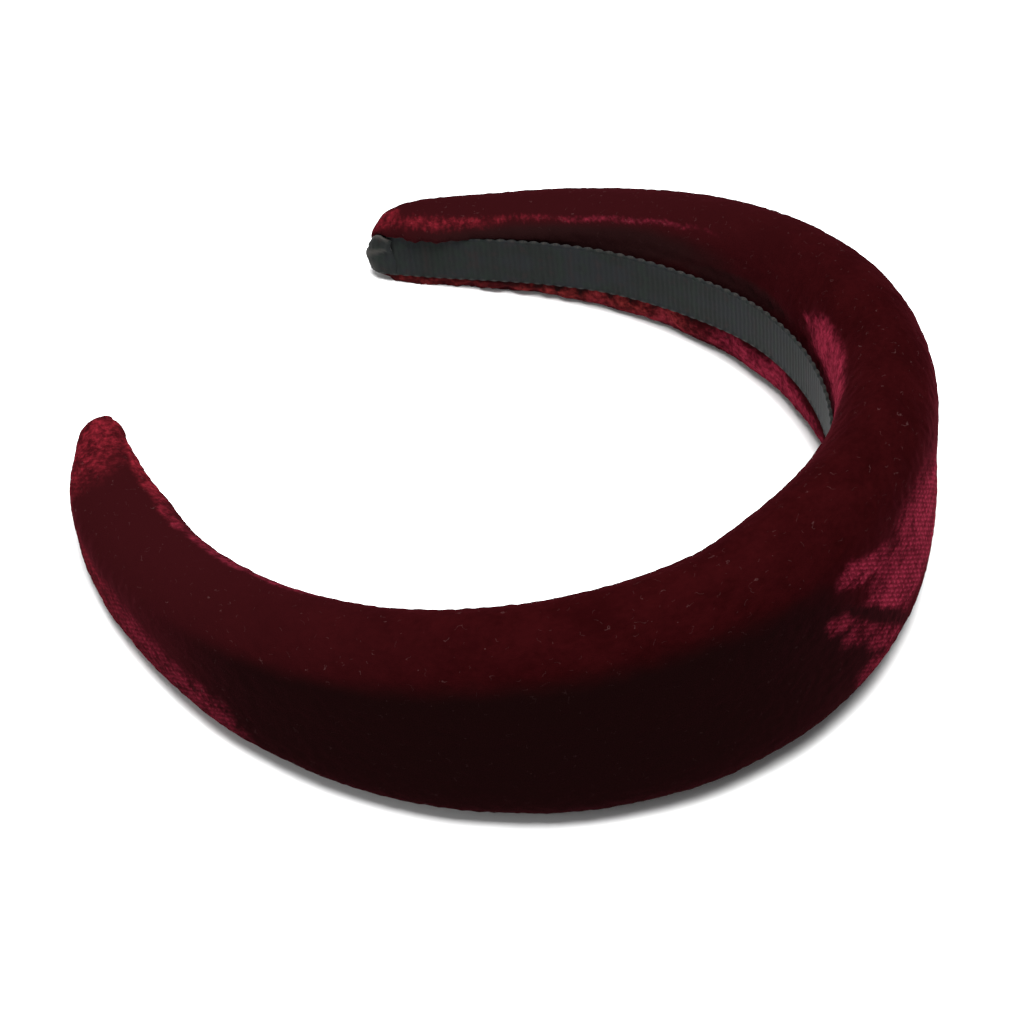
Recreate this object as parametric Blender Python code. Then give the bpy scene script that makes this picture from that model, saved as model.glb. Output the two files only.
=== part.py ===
"""Padded velvet headband, lying on its lower edge.

A C-shaped band: tall and thick at the crown, tapering to two round tips. A grosgrain
ribbon lines the inner face, and a short tab of the same ribbon is wrapped round each tip.

Metres, +Z up. The crown points to -Y and the tips to +Y, X runs across the head, and the
origin is under the middle of the band, on the surface that it lies on. "Left" is -X and
"right" is +X. The share of an arm runs from 0 at the crown to 1 at its tip.
"""
from collections import namedtuple
from math import cos, pi, radians, sin, sqrt

import bmesh
import bpy
import numpy as np
from mathutils import Vector

MM = 0.001

# Driving sizes of the band
INNER_ARC = 365.0 * MM          # along the ribbon's face, from tip to tip
CROWN_HEIGHT = 55.0 * MM
TIP_HEIGHT = 16.8 * MM
CROWN_THICKNESS = 20.7 * MM
TIP_THICKNESS = 5.5 * MM
TIP_CORNER = 5.6 * MM           # rounding of the tip's end, seen from the front
TIP_TURN = radians(115.0)       # how far each arm turns from the crown to its tip
SKEW = radians(3.7)             # the right arm turns in by this much more, the left by less
LEAN = radians(7.4)             # the band leans as its tapered lower edge lies flat
FACE_SETBACK = 3.2 * MM         # deepest set-back of the roll beside the ribbon
REST_FLAT = 0.7 * MM            # how far the soft lower edge is pressed flat
GATHER_WIDTH = 9.0 * MM         # of one gather in the velvet under the ribbon
GATHER_DEPTH = 1.3 * MM         # of the deepest gather

# Driving sizes of the ribbon
RIBBON_WIDTH = 11.3 * MM
RIBBON_THICKNESS = 1.0 * MM
SEAT_GAP = 0.3 * MM             # between touching pieces
RIBBON_EDGE_GAP = 0.4 * MM      # the pad's flat face is wider than the ribbon by this, each side
TAB_LENGTH = 6.5 * MM           # from the lining's end to the end of the arm
TAB_WRAP = radians(80.0)        # how far the tab is wrapped round the tip's nose
TAB_END_WIDTH = 0.45            # share of the ribbon's width that the tab ends with

# Fineness of the mesh
STATIONS = 64
ROUNDING = 4                    # ring points for each stretch between two section points
NOSE_STATIONS = 7
TAB_STATIONS = 12

# How an arm changes from the crown to its tip. turn is a share of TIP_TURN, height and
# thickness are shares of the way from the tip's size to the crown's, setback is a share of
# FACE_SETBACK, and inner_shoulder is a share of half the height.
Station = namedtuple("Station", "share turn height thickness setback inner_shoulder")
ARM = (
    Station(share=0.00, turn=0.000, height=1.00, thickness=1.00, setback=0.24, inner_shoulder=0.68),
    Station(share=0.15, turn=0.213, height=0.93, thickness=1.00, setback=0.62, inner_shoulder=0.72),
    Station(share=0.30, turn=0.423, height=0.82, thickness=0.99, setback=0.87, inner_shoulder=0.77),
    Station(share=0.45, turn=0.625, height=0.64, thickness=0.98, setback=0.99, inner_shoulder=0.81),
    Station(share=0.60, turn=0.807, height=0.42, thickness=0.96, setback=0.97, inner_shoulder=0.86),
    Station(share=0.75, turn=0.949, height=0.19, thickness=0.89, setback=0.84, inner_shoulder=0.90),
    Station(share=0.90, turn=1.018, height=0.04, thickness=0.64, setback=0.60, inner_shoulder=0.94),
    Station(share=1.00, turn=1.000, height=0.00, thickness=0.00, setback=0.36, inner_shoulder=0.97),
)

# The velvet is gathered where it is turned in under the ribbon, on the lower inner roll.
# share is the place along the band, from -1 at the left tip to 1 at the right one, and depth
# is a share of GATHER_DEPTH.
Gather = namedtuple("Gather", "share depth")
GATHERS = (
    Gather(share=-0.84, depth=0.50),
    Gather(share=-0.74, depth=0.80),
    Gather(share=-0.63, depth=1.00),
    Gather(share=-0.50, depth=0.70),
    Gather(share=-0.35, depth=0.60),
    Gather(share=-0.18, depth=0.40),
    Gather(share=0.10, depth=0.40),
    Gather(share=0.30, depth=0.60),
    Gather(share=0.44, depth=0.80),
    Gather(share=0.53, depth=0.90),
    Gather(share=0.62, depth=1.00),
    Gather(share=0.71, depth=0.90),
    Gather(share=0.79, depth=0.60),
    Gather(share=0.88, depth=0.40),
)

# The outer shoulder of every section: shares of the thickness and of half the height
OUTER_SHOULDER_ACROSS = 0.967
OUTER_SHOULDER_UP = 0.716


def smooth_curve(knots, values, at):
    """A smooth curve through the knots that never overshoots between two of them."""
    knots = np.asarray(knots, float)
    values = np.asarray(values, float)
    step = np.diff(knots)
    slope = np.diff(values) / step
    tangent = np.zeros(len(knots))
    tangent[0] = slope[0]
    tangent[-1] = slope[-1]
    for i in range(1, len(knots) - 1):
        before, after = slope[i - 1], slope[i]
        if before * after > 0:
            weight_before = 2 * step[i] + step[i - 1]
            weight_after = step[i] + 2 * step[i - 1]
            total = weight_before + weight_after
            tangent[i] = total / (weight_before / before + weight_after / after)
    at = np.asarray(at, float)
    i = np.clip(np.searchsorted(knots, at) - 1, 0, len(step) - 1)
    t = (at - knots[i]) / step[i]
    return (
        values[i] * (1 + 2 * t) * (1 - t) ** 2
        + tangent[i] * step[i] * t * (1 - t) ** 2
        + values[i + 1] * t * t * (3 - 2 * t)
        + tangent[i + 1] * step[i] * t * t * (t - 1)
    )


def along_arm(column, share):
    """Read one column of the arm's table; both arms share the table, so it is mirrored."""
    odd = column == "turn"
    rows = [(-row.share, -getattr(row, column) if odd else getattr(row, column)) for row in ARM[:0:-1]]
    rows += [(row.share, getattr(row, column)) for row in ARM]
    knots, values = zip(*rows)
    return smooth_curve(knots, values, share)


def heading(share):
    """Direction of the inner face, turned from +X, at a share from -1 (left tip) to 1."""
    return TIP_TURN * along_arm("turn", share) + SKEW * np.asarray(share) ** 2


def face_point(share):
    """Where the ribbon's face is, in the band's own plane, with the crown at the origin."""
    steps = 400
    fine = np.linspace(0, share, steps + 1)
    middle = (fine[1:] + fine[:-1]) / 2
    turn = heading(middle)
    length = INNER_ARC / 2 * share / steps
    return np.array([np.cos(turn).sum() * length, np.sin(turn).sum() * length])


def band_height(share):
    return TIP_HEIGHT + (CROWN_HEIGHT - TIP_HEIGHT) * float(along_arm("height", share))


def band_thickness(share):
    return TIP_THICKNESS + (CROWN_THICKNESS - TIP_THICKNESS) * float(along_arm("thickness", share))


def pad_face():
    """How far behind the ribbon's face the pad's own flat face lies."""
    return RIBBON_THICKNESS + SEAT_GAP


def nose_radius():
    """The pad's tip is a half-round nose, seen from above."""
    return (TIP_THICKNESS - pad_face()) / 2


def pad_end_distance(share):
    """Distance from the pad's own end, which the tab covers, to a station of the arm."""
    return INNER_ARC / 2 * (1 - abs(share)) - pad_face()


def end_height_factor(share):
    """The tip's end is a rounded rectangle, seen from the front."""
    half = band_height(share) / 2
    corner = min(TIP_CORNER, 0.95 * half)
    inside = min(max(corner - pad_end_distance(share), 0.0), corner)
    return (half - corner + sqrt(corner * corner - inside * inside)) / half


def end_thickness_factor(share):
    radius = nose_radius()
    inside = min(max(radius - pad_end_distance(share), 0.0), radius)
    return max(sqrt(radius * radius - inside * inside) / radius, 0.18)


def gather_depth(share):
    """How deep the gathers press the lower inner roll in, at one share of the band."""
    depth = 0.0
    for gather in GATHERS:
        away = abs(share - gather.share) * INNER_ARC / GATHER_WIDTH
        if away < 1:
            depth += GATHER_DEPTH * gather.depth * cos(pi / 2 * away) ** 2
    return depth


def open_curve(points, parts):
    """A round curve through the points, in so many parts between two of them."""
    points = [np.array(p, float) for p in points]
    points = [2 * points[0] - points[1]] + points + [2 * points[-1] - points[-2]]
    curve = []
    for a, b, c, d in zip(points, points[1:], points[2:], points[3:]):
        for k in range(parts):
            t = k / parts
            curve.append(
                0.5 * (2 * b + (c - a) * t + (2 * a - 5 * b + 4 * c - d) * t * t
                       + (3 * b - a - 3 * c + d) * t ** 3)
            )
    curve.append(points[-2])
    return np.array(curve)


def pad_section(share, height_factor=1.0):
    """The pad's section, as (outward, up) from the ribbon's face and the band's mid-plane."""
    half = band_height(share) / 2 * height_factor
    thick = band_thickness(share)
    flat_half = min(RIBBON_WIDTH / 2 + RIBBON_EDGE_GAP, 0.72 * half)
    setback = FACE_SETBACK * float(along_arm("setback", share))
    setback = min(setback, 0.4 * thick)
    shoulder = max(float(along_arm("inner_shoulder", share)) * half, flat_half + 0.12 * half)
    crest = (setback + OUTER_SHOULDER_ACROSS * thick) / 2
    upper = [
        (pad_face(), flat_half),
        (setback, shoulder),
        (crest, half),
        (OUTER_SHOULDER_ACROSS * thick, OUTER_SHOULDER_UP * half),
    ]
    lower = [(out, -up) for out, up in reversed(upper)]
    ring = open_curve(upper + [(thick, 0.0)] + lower, ROUNDING)
    for step in range(1, ROUNDING):
        ring[-1 - step, 0] += gather_depth(share) * sin(pi * step / ROUNDING)
    middle = (pad_face() + thick) / 2
    ring[:, 0] = middle + (ring[:, 0] - middle) * end_thickness_factor(share)
    return ring


class Axes:
    """The section's axes at one share of the band, with the lean put in."""

    def __init__(self, share):
        turn = float(heading(share))
        across, back = face_point(share)
        self.outward = Vector((sin(turn), -cos(turn) * cos(LEAN), cos(turn) * sin(LEAN)))
        self.along = Vector((cos(turn), sin(turn) * cos(LEAN), -sin(turn) * sin(LEAN)))
        self.up = Vector((0.0, sin(LEAN), cos(LEAN)))
        ring = pad_section(share)
        lowest = min(self.outward.z * out + self.up.z * up for out, up in ring)
        foot = Vector((across, back * cos(LEAN), -back * sin(LEAN)))
        lift = (-REST_FLAT - lowest - foot.z) / self.up.z
        self.origin = foot + self.up * lift

    def place(self, out, up, along=0.0):
        return self.origin + self.outward * out + self.up * up + self.along * along


def end_stations(end, count):
    """Shares that close in on the pad's end, following the round of its nose."""
    reach = max(TIP_CORNER, nose_radius())
    steps = [reach * (1 - cos(pi / 2 * k / (count - 1))) for k in range(count)]
    return [1 - (end + step) / (INNER_ARC / 2) for step in steps]


def band_shares(end, reach):
    """Evenly spread shares from tip to tip, without the stretch near each end."""
    limit = 1 - (end + reach) / (INNER_ARC / 2)
    return [limit * (2 * k / (STATIONS - 1) - 1) for k in range(STATIONS)]


def shares_with_gathers(shares):
    """The same shares, with closer ones over each gather in place of those near them."""
    quarter = GATHER_WIDTH / 2 / INNER_ARC
    close = [gather.share + step * quarter for gather in GATHERS for step in (-2, -1, 0, 1, 2)]
    close = [share for share in close if shares[0] < share < shares[-1]]
    far = [share for share in shares[1:-1] if all(abs(share - near) > 0.6 * quarter for near in close)]
    return [shares[0]] + sorted(close + far) + [shares[-1]]


def new_material(name, colour, roughness, sheen=0.0):
    material = bpy.data.materials.new(name)
    material.use_nodes = True
    shader = material.node_tree.nodes["Principled BSDF"]
    shader.inputs["Base Color"].default_value = (*colour, 1.0)
    shader.inputs["Roughness"].default_value = roughness
    shader.inputs["Metallic"].default_value = 0.0
    shader.inputs["Sheen Weight"].default_value = sheen
    return material


def loft(rings):
    """One closed body through rings that all have the same number of points."""
    body = bmesh.new()
    loops = [[body.verts.new(point) for point in ring] for ring in rings]
    for ring, following in zip(loops, loops[1:]):
        for k in range(len(ring)):
            after = (k + 1) % len(ring)
            body.faces.new((ring[k], ring[after], following[after], following[k]))
    body.faces.new(reversed(loops[0]))
    body.faces.new(loops[-1])
    bmesh.ops.recalc_face_normals(body, faces=body.faces)
    return body


def press_flat(body):
    """Cut what lies under the surface that the soft lower edge is pressed on."""
    geometry = body.verts[:] + body.edges[:] + body.faces[:]
    cut = bmesh.ops.bisect_plane(
        body, geom=geometry, plane_co=(0, 0, 0), plane_no=(0, 0, -1), clear_outer=True, dist=0.0001 * MM
    )
    rim = [item for item in cut["geom_cut"] if isinstance(item, bmesh.types.BMEdge)]
    bmesh.ops.contextual_create(body, geom=rim)
    bmesh.ops.recalc_face_normals(body, faces=body.faces)


def add_object(name, body, material, smooth_angle):
    mesh = bpy.data.meshes.new(name)
    body.to_mesh(mesh)
    body.free()
    mesh.materials.append(material)
    mesh.shade_smooth()
    mesh.set_sharp_from_angle(angle=radians(smooth_angle))
    piece = bpy.data.objects.new(name, mesh)
    bpy.context.scene.collection.objects.link(piece)
    return piece


def make_velvet_pad(material):
    """The foam-filled band in its velvet cover, as one solid."""
    end = pad_face()
    reach = max(TIP_CORNER, nose_radius())
    tip = end_stations(end, NOSE_STATIONS)
    middle = shares_with_gathers(band_shares(end, reach))
    shares = [-share for share in tip[:-1]] + middle + tip[-2::-1]
    rings = []
    for share in shares:
        axes = Axes(share)
        section = pad_section(share, end_height_factor(share))
        rings.append([axes.place(out, up) for out, up in section])
    body = loft(rings)
    press_flat(body)
    return add_object("velvet_pad", body, material, 40)


def ribbon_half_width(share):
    return min(RIBBON_WIDTH / 2, 0.72 * band_height(share) / 2)


def make_ribbon_lining(material):
    """The ribbon along the inner face, up to the tab at each tip."""
    rings = []
    for share in band_shares(0.0, TAB_LENGTH):
        axes = Axes(share)
        half = ribbon_half_width(share)
        corners = ((0.0, half), (0.0, -half), (RIBBON_THICKNESS, -half), (RIBBON_THICKNESS, half))
        rings.append([axes.place(out, up) for out, up in corners])
    return add_object("ribbon_lining", loft(rings), material, 40)


def make_ribbon_tab(name, side, material):
    """A short ribbon tab that starts at the lining's end and is wrapped round one tip."""
    front_radius = nose_radius() + SEAT_GAP + RIBBON_THICKNESS
    straight = TAB_LENGTH - SEAT_GAP - front_radius
    stretches = 3
    path = [(straight * k / stretches, 0.0) for k in range(stretches)]
    path += [(straight, TAB_WRAP * k / (TAB_STATIONS - stretches - 1)) for k in range(TAB_STATIONS - stretches)]
    nose_share = side * (1 - front_radius / (INNER_ARC / 2))
    nose = Axes(nose_share)
    rings = []
    for run, turn in path:
        from_nose = (front_radius * sin(turn)) + (run - straight)
        narrowing = 1 - (1 - TAB_END_WIDTH) * (1 - cos(turn))
        half = ribbon_half_width(nose_share) * narrowing
        ring = []
        for depth, up in ((0.0, half), (0.0, -half), (RIBBON_THICKNESS, -half), (RIBBON_THICKNESS, half)):
            radius = front_radius - depth
            out = front_radius - radius * cos(turn)
            along = from_nose - depth * sin(turn)
            ring.append(nose.place(out, up, side * along))
        rings.append(ring)
    return add_object(name, loft(rings), material, 40)


def centre_on_origin(pieces):
    """Put the middle of the whole band over the origin; it already lies at height zero."""
    corners = np.array([vertex.co for piece in pieces for vertex in piece.data.vertices])
    middle = (corners.min(axis=0) + corners.max(axis=0)) / 2
    for piece in pieces:
        for vertex in piece.data.vertices:
            vertex.co.x -= middle[0]
            vertex.co.y -= middle[1]


def main():
    for old in list(bpy.data.objects):
        bpy.data.objects.remove(old, do_unlink=True)
    velvet = new_material("velvet", (0.040, 0.006, 0.009), 0.9, sheen=0.6)
    ribbon = new_material("grosgrain", (0.026, 0.031, 0.033), 0.7)
    pieces = [
        make_velvet_pad(velvet),
        make_ribbon_lining(ribbon),
        make_ribbon_tab("ribbon_tab_left", -1, ribbon),
        make_ribbon_tab("ribbon_tab_right", 1, ribbon),
    ]
    centre_on_origin(pieces)


main()
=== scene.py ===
"""Padded velvet headband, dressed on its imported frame.

The file is laid out as an add-on and is run as a script. Lengths are metres, +Z is up, the
crown points to -Y and the tips to +Y. The left arm is on -X and the right one on +X.

Places on the band are given in its own three directions. Along runs on the ribbon's face from
the crown, minus towards the left tip and plus towards the right one. Out runs from the
ribbon's face towards the outer side. Up runs from the ribbon's middle line towards the upper
edge. Tables give them in millimetres.
"""
from collections import namedtuple
from math import cos, pi, radians, sin

import bmesh
import bpy
import numpy as np
from bpy.props import FloatProperty, FloatVectorProperty, PointerProperty
from mathutils import Matrix, Vector, noise


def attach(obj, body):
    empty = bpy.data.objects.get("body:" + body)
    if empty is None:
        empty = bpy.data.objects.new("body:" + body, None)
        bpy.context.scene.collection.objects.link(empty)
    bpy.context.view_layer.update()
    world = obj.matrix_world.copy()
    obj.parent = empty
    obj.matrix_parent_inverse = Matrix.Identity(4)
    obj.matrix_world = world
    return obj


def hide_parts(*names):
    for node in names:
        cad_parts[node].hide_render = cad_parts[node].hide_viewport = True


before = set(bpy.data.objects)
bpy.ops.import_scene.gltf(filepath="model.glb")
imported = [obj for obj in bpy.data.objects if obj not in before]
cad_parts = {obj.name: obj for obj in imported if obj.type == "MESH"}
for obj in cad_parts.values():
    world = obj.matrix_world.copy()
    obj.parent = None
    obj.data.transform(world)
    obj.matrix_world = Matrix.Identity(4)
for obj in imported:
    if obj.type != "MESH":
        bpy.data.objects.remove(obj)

bl_info = {
    "name": "Padded velvet headband",
    "version": (1, 0, 0),
    "blender": (4, 5, 0),
    "location": "3D View > Sidebar > Headband",
    "description": "Dresses the frame of a padded headband in velvet and grosgrain ribbon",
    "category": "Add Mesh",
}

MM = 0.001
TAB_START = 177.4               # where the lining ends and each tab starts, in mm along the band
TAB_COVER = 0.3                 # how far the lining runs on under each tab, in mm
LINING_LENGTH = (2 * TAB_START + 2 * TAB_COVER) * MM
TIP_START = 172.0               # between these two, in mm along, the shapes of the tips come in
TIP_FULL = 178.0
WEDGE_TOP = 7.2                 # how far down the painted shadow wedges below the ribbon start to narrow, in mm
GATHER_PITCH = 6.4              # from one pucker beside the ribbon to the next, in mm
HELD_OUT = 2.0                  # the cloth is held beside the ribbon, this far out in mm
HELD_UP = 6.6                   # and this far up and down in mm
FLOOR_REACH = 0.3 * MM          # points lower than this lie on the floor
GROUNDED = 0.25 * MM            # points lower than this have no pile, dents or puckers
TUFT_SIZE = 1.6 * MM            # size of the pile's tufts
DENT_SIZE = 14 * MM             # size of the broad soft dents
SWELL_STEPS = 20                # frames of the cloth simulation
RINGS_TO_A_RIB = 5              # a ribbon's mesh, along it
STRIPS_ACROSS = 14              # and across it
FLOOR_HALF = 3.0                # half the floor's width, in metres
FLOOR_GAP = 0.02 * MM           # how far the floor lies below the band, so that they don't touch
SENSOR_WIDTH = 36.0             # of the camera, in millimetres
PLACE = "band_place"            # attribute: along, out and up of each point, in millimetres
PAINTED_SHEEN = "nap"                     # attribute: how strongly painted sheen lightens each point's pile
SHADE = "shade"                 # attribute: how strongly painted shade darkens each point's pile
FOLD_LIGHT_AND_SHADE = "fold"                   # attribute: painted highlights on the ribbon's folds, painted shade in notches below 0
KNIT_RISE = (605.0, 478.0, 766.0)    # knit rows to a metre in each direction, across the rows
KNIT_RUN = (539.0, -683.0, 0.0)      # knots to a metre in each direction, along the rows

# Painted sheen: where the pile is painted lighter, as velvet glows where light grazes it, on the band's
# surface. Along is in millimetres and round in degrees about the section: 0 is the middle of the outer
# side, 90 the upper edge, 135 the upper inner corner, 180 the ribbon and -90 the lower edge. The
# reaches are half sizes, slant is how many millimetres along the patch moves for each degree round,
# and strength is how far it shows.
Patch = namedtuple("Patch", "along round reach_along reach_round slant strength")
SHEEN_PATCHES = (
    Patch(along=-182, round=60, reach_along=27, reach_round=140, slant=0.0, strength=0.42),
    Patch(along=-166, round=28, reach_along=12, reach_round=15, slant=0.0, strength=0.34),
    Patch(along=-160, round=134, reach_along=22, reach_round=11, slant=0.0, strength=0.46),
    Patch(along=-118, round=126, reach_along=60, reach_round=9, slant=0.0, strength=0.30),
    Patch(along=-150, round=2, reach_along=20, reach_round=27, slant=-0.2, strength=0.36),
    Patch(along=-131, round=-14, reach_along=22, reach_round=40, slant=-0.2, strength=0.32),
    Patch(along=-115, round=-26, reach_along=16, reach_round=32, slant=-0.2, strength=0.28),
    Patch(along=26, round=-2, reach_along=20, reach_round=38, slant=-0.30, strength=0.95),
    Patch(along=11, round=-9, reach_along=13, reach_round=20, slant=-0.42, strength=0.90),
    Patch(along=-0.5, round=22, reach_along=7, reach_round=9, slant=-0.42, strength=0.70),
    Patch(along=6, round=-24, reach_along=6, reach_round=13, slant=-0.42, strength=0.54),
    Patch(along=4, round=-38, reach_along=7, reach_round=14, slant=-0.42, strength=0.40),
    Patch(along=-5.5, round=5, reach_along=5, reach_round=8, slant=-0.42, strength=0.46),
    Patch(along=-1, round=-9, reach_along=6, reach_round=9, slant=-0.42, strength=0.36),
    Patch(along=8, round=8, reach_along=9, reach_round=14, slant=-0.42, strength=0.52),
    Patch(along=42, round=151, reach_along=21, reach_round=24, slant=-0.10, strength=0.86),
    Patch(along=53, round=149, reach_along=14, reach_round=18, slant=0.0, strength=0.82),
    Patch(along=63, round=147, reach_along=6, reach_round=3.0, slant=0.0, strength=0.50),
    Patch(along=80, round=-141, reach_along=30, reach_round=17, slant=0.0, strength=0.80),
    Patch(along=126, round=-141, reach_along=34, reach_round=16, slant=0.0, strength=0.56),
    Patch(along=168, round=-140, reach_along=22, reach_round=13, slant=0.0, strength=0.30),
    Patch(along=40, round=-141, reach_along=26, reach_round=15, slant=0.0, strength=0.36),
    Patch(along=138, round=127, reach_along=46, reach_round=3.2, slant=0.0, strength=0.26),
    Patch(along=168, round=131, reach_along=20, reach_round=11, slant=0.0, strength=0.32),
    Patch(along=179, round=112, reach_along=5, reach_round=36, slant=0.0, strength=0.34),
    Patch(along=128, round=-12, reach_along=28, reach_round=22, slant=0.5, strength=0.36),
    Patch(along=84, round=20, reach_along=12, reach_round=16, slant=-0.3, strength=0.30),
    Patch(along=-72, round=-140, reach_along=44, reach_round=15, slant=0.0, strength=0.66),
    Patch(along=-140, round=-140, reach_along=36, reach_round=14, slant=0.0, strength=0.40),
    Patch(along=-38, round=149, reach_along=20, reach_round=15, slant=0.35, strength=0.66),
)
# Painted shade: the crease across the crown's painted sheen patches, and the slopes above the ribbon
SHADE_PATCHES = (
    Patch(along=5.3, round=-15, reach_along=2.8, reach_round=48, slant=-0.42, strength=1.0),
    Patch(along=132, round=149, reach_along=48, reach_round=21, slant=0.0, strength=0.85),
    Patch(along=92, round=158, reach_along=24, reach_round=10, slant=0.0, strength=0.8),
    Patch(along=-122, round=152, reach_along=50, reach_round=15, slant=0.0, strength=0.8),
)

# Where the pile stands fuller than elsewhere, in millimetres. A bulge is centred at along, has
# this reach, and grows from nothing at empty to its height at full, both measured out.
Bulge = namedtuple("Bulge", "along reach empty full height")
BULGES = (
    Bulge(along=-138, reach=45, empty=9, full=3, height=0.6),
    Bulge(along=-152, reach=22, empty=5, full=9, height=0.6),
    Bulge(along=60, reach=50, empty=2, full=8, height=0.35),
)

# The soft lights, in metres. Power is the name of the stage's property that gives it.
Lamp = namedtuple("Lamp", "name place aim size power")
LAMPS = (
    Lamp(name="overhead", place=(-0.10, -0.07, 0.80), aim=(0, 0, 0), size=0.42, power="overhead"),
    Lamp(name="left", place=(-0.70, 0.25, 0.35), aim=(0, 0, 0.02), size=0.5, power="side"),
    Lamp(name="right", place=(0.70, 0.05, 0.35), aim=(0, 0, 0.02), size=0.5, power="side"),
)


def colour_property(name, description, default):
    return FloatVectorProperty(
        name=name, description=description, default=default, size=3, min=0, max=1, subtype="COLOR"
    )


def length_property(name, description, default):
    return FloatProperty(
        name=name, description=description, default=default, min=0, unit="LENGTH", precision=5
    )


class HEADBAND_PG_velvet(bpy.types.PropertyGroup):
    """Sizes and colours of the padded velvet cover"""

    mesh_size: length_property("Mesh size", "Voxel size of the padding's remesh", 1.5 * MM)
    slack: length_property("Slack", "How much smaller the padding starts before it swells", 0.35 * MM)
    cap: length_property("Cap", "How far the swelling may move a point", 0.8 * MM)
    pressure: FloatProperty(
        name="Pressure", description="Pressure of the foam on its cover", default=4.0, min=0
    )
    pucker_depth: length_property("Pucker depth", "Depth of the puckers beside the ribbon", 0.9 * MM)
    dent_depth: length_property("Dent depth", "Depth of the broad soft dents", 0.25 * MM)
    pile_height: length_property("Pile height", "How far the pile's tufts stand out", 0.19 * MM)
    body: colour_property("Body", "Pile seen on the upper side", (0.0124, 0.0011, 0.0014))
    arms: colour_property("Arms", "Pile seen on the arms' upper side", (0.0160, 0.0021, 0.0027))
    # Painted shade: the pile's colour where shade falls, on the outer side and on the slopes above the
    # ribbon
    deep: colour_property("Deep", "Pile seen from its dark side", (0.0045, 0.0014, 0.0014))
    hollow: colour_property("Hollow", "Dark slope above the ribbon", (0.0080, 0.0032, 0.0032))
    # Painted sheen: the pile's colours where it glows in the light, in patches, on the lower roll and at
    # the tips
    light: colour_property("Light", "Pile brushed to its light side", (0.112, 0.0086, 0.0190))
    warm: colour_property("Warm", "Light pile on the lower roll", (0.100, 0.0118, 0.0115))
    berry: colour_property("Berry", "Light pile at the tips", (0.112, 0.0068, 0.0118))
    lint: colour_property("Lint", "Stray fibres and dust", (0.24, 0.13, 0.13))
    sheen: colour_property("Sheen", "Tint of the pile seen at a low angle", (0.75, 0.10, 0.16))
    sheen_weight: FloatProperty(
        name="Sheen weight", description="Strength of the pile's sheen", default=0.06, min=0, max=1
    )


class HEADBAND_PG_ribbon(bpy.types.PropertyGroup):
    """Sizes and colours of the grosgrain ribbon"""

    width: length_property("Width", "Width of the ribbon with its picots", 11.7 * MM)
    thickness: length_property("Thickness", "Thickness of the ribbon", 0.55 * MM)
    rib_pitch: length_property("Rib pitch", "From one cross rib to the next", 1.3 * MM)
    rib_height: length_property("Rib height", "Height of a cross rib", 0.045 * MM)
    picot_depth: length_property("Picot depth", "How far the edge's small loops stand out", 0.42 * MM)
    thread: colour_property("Thread", "Crests of the ribs", (0.0085, 0.0100, 0.0092))
    # Painted shade: the grooves' colour is darker than the crests'
    groove: colour_property("Groove", "Grooves between the ribs", (0.0062, 0.0075, 0.0070))
    # Painted highlight colour on the tips of the edge's loops, and, brighter, on the tabs' folds
    tip: colour_property("Picot tip", "Pale tips of the edge's loops", (0.024, 0.022, 0.020))
    cool: colour_property("Cool", "Bluish threads", (0.0092, 0.0102, 0.0128))
    green: colour_property("Green", "Greenish threads", (0.0078, 0.0120, 0.0092))
    pink: colour_property("Pink", "Threads that take up the velvet's red", (0.0135, 0.0092, 0.0094))


class HEADBAND_PG_stage(bpy.types.PropertyGroup):
    """The floor, the studio light and the camera"""

    floor: colour_property("Floor", "Colour of the floor", (0.9, 0.9, 0.9))
    sky: FloatProperty(name="Sky", description="Strength of the room's light", default=0.25, min=0)
    overhead: FloatProperty(
        name="Overhead", description="Power of the soft light above",
        default=16.2, min=0, unit="POWER",
    )
    side: FloatProperty(
        name="Side", description="Power of the soft light at each side",
        default=1.35, min=0, unit="POWER",
    )
    azimuth: FloatProperty(
        name="Azimuth", description="Camera's turn round the band",
        default=radians(-51.713), subtype="ANGLE",
    )
    elevation: FloatProperty(
        name="Elevation", description="Camera's angle above the floor",
        default=radians(45.158), subtype="ANGLE",
    )
    roll: FloatProperty(
        name="Roll", description="Camera's tilt to one side", default=radians(1.014), subtype="ANGLE"
    )
    distance: length_property("Distance", "From the camera to the band", 507.41 * MM)
    lens: FloatProperty(name="Lens", description="Focal length in millimetres", default=88.10, min=1)
    aim: FloatVectorProperty(
        name="Aim", description="Right, up and height of what the camera looks at",
        default=(-6.212 * MM, -14.368 * MM, 25.0 * MM), size=3, unit="LENGTH",
    )


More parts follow.
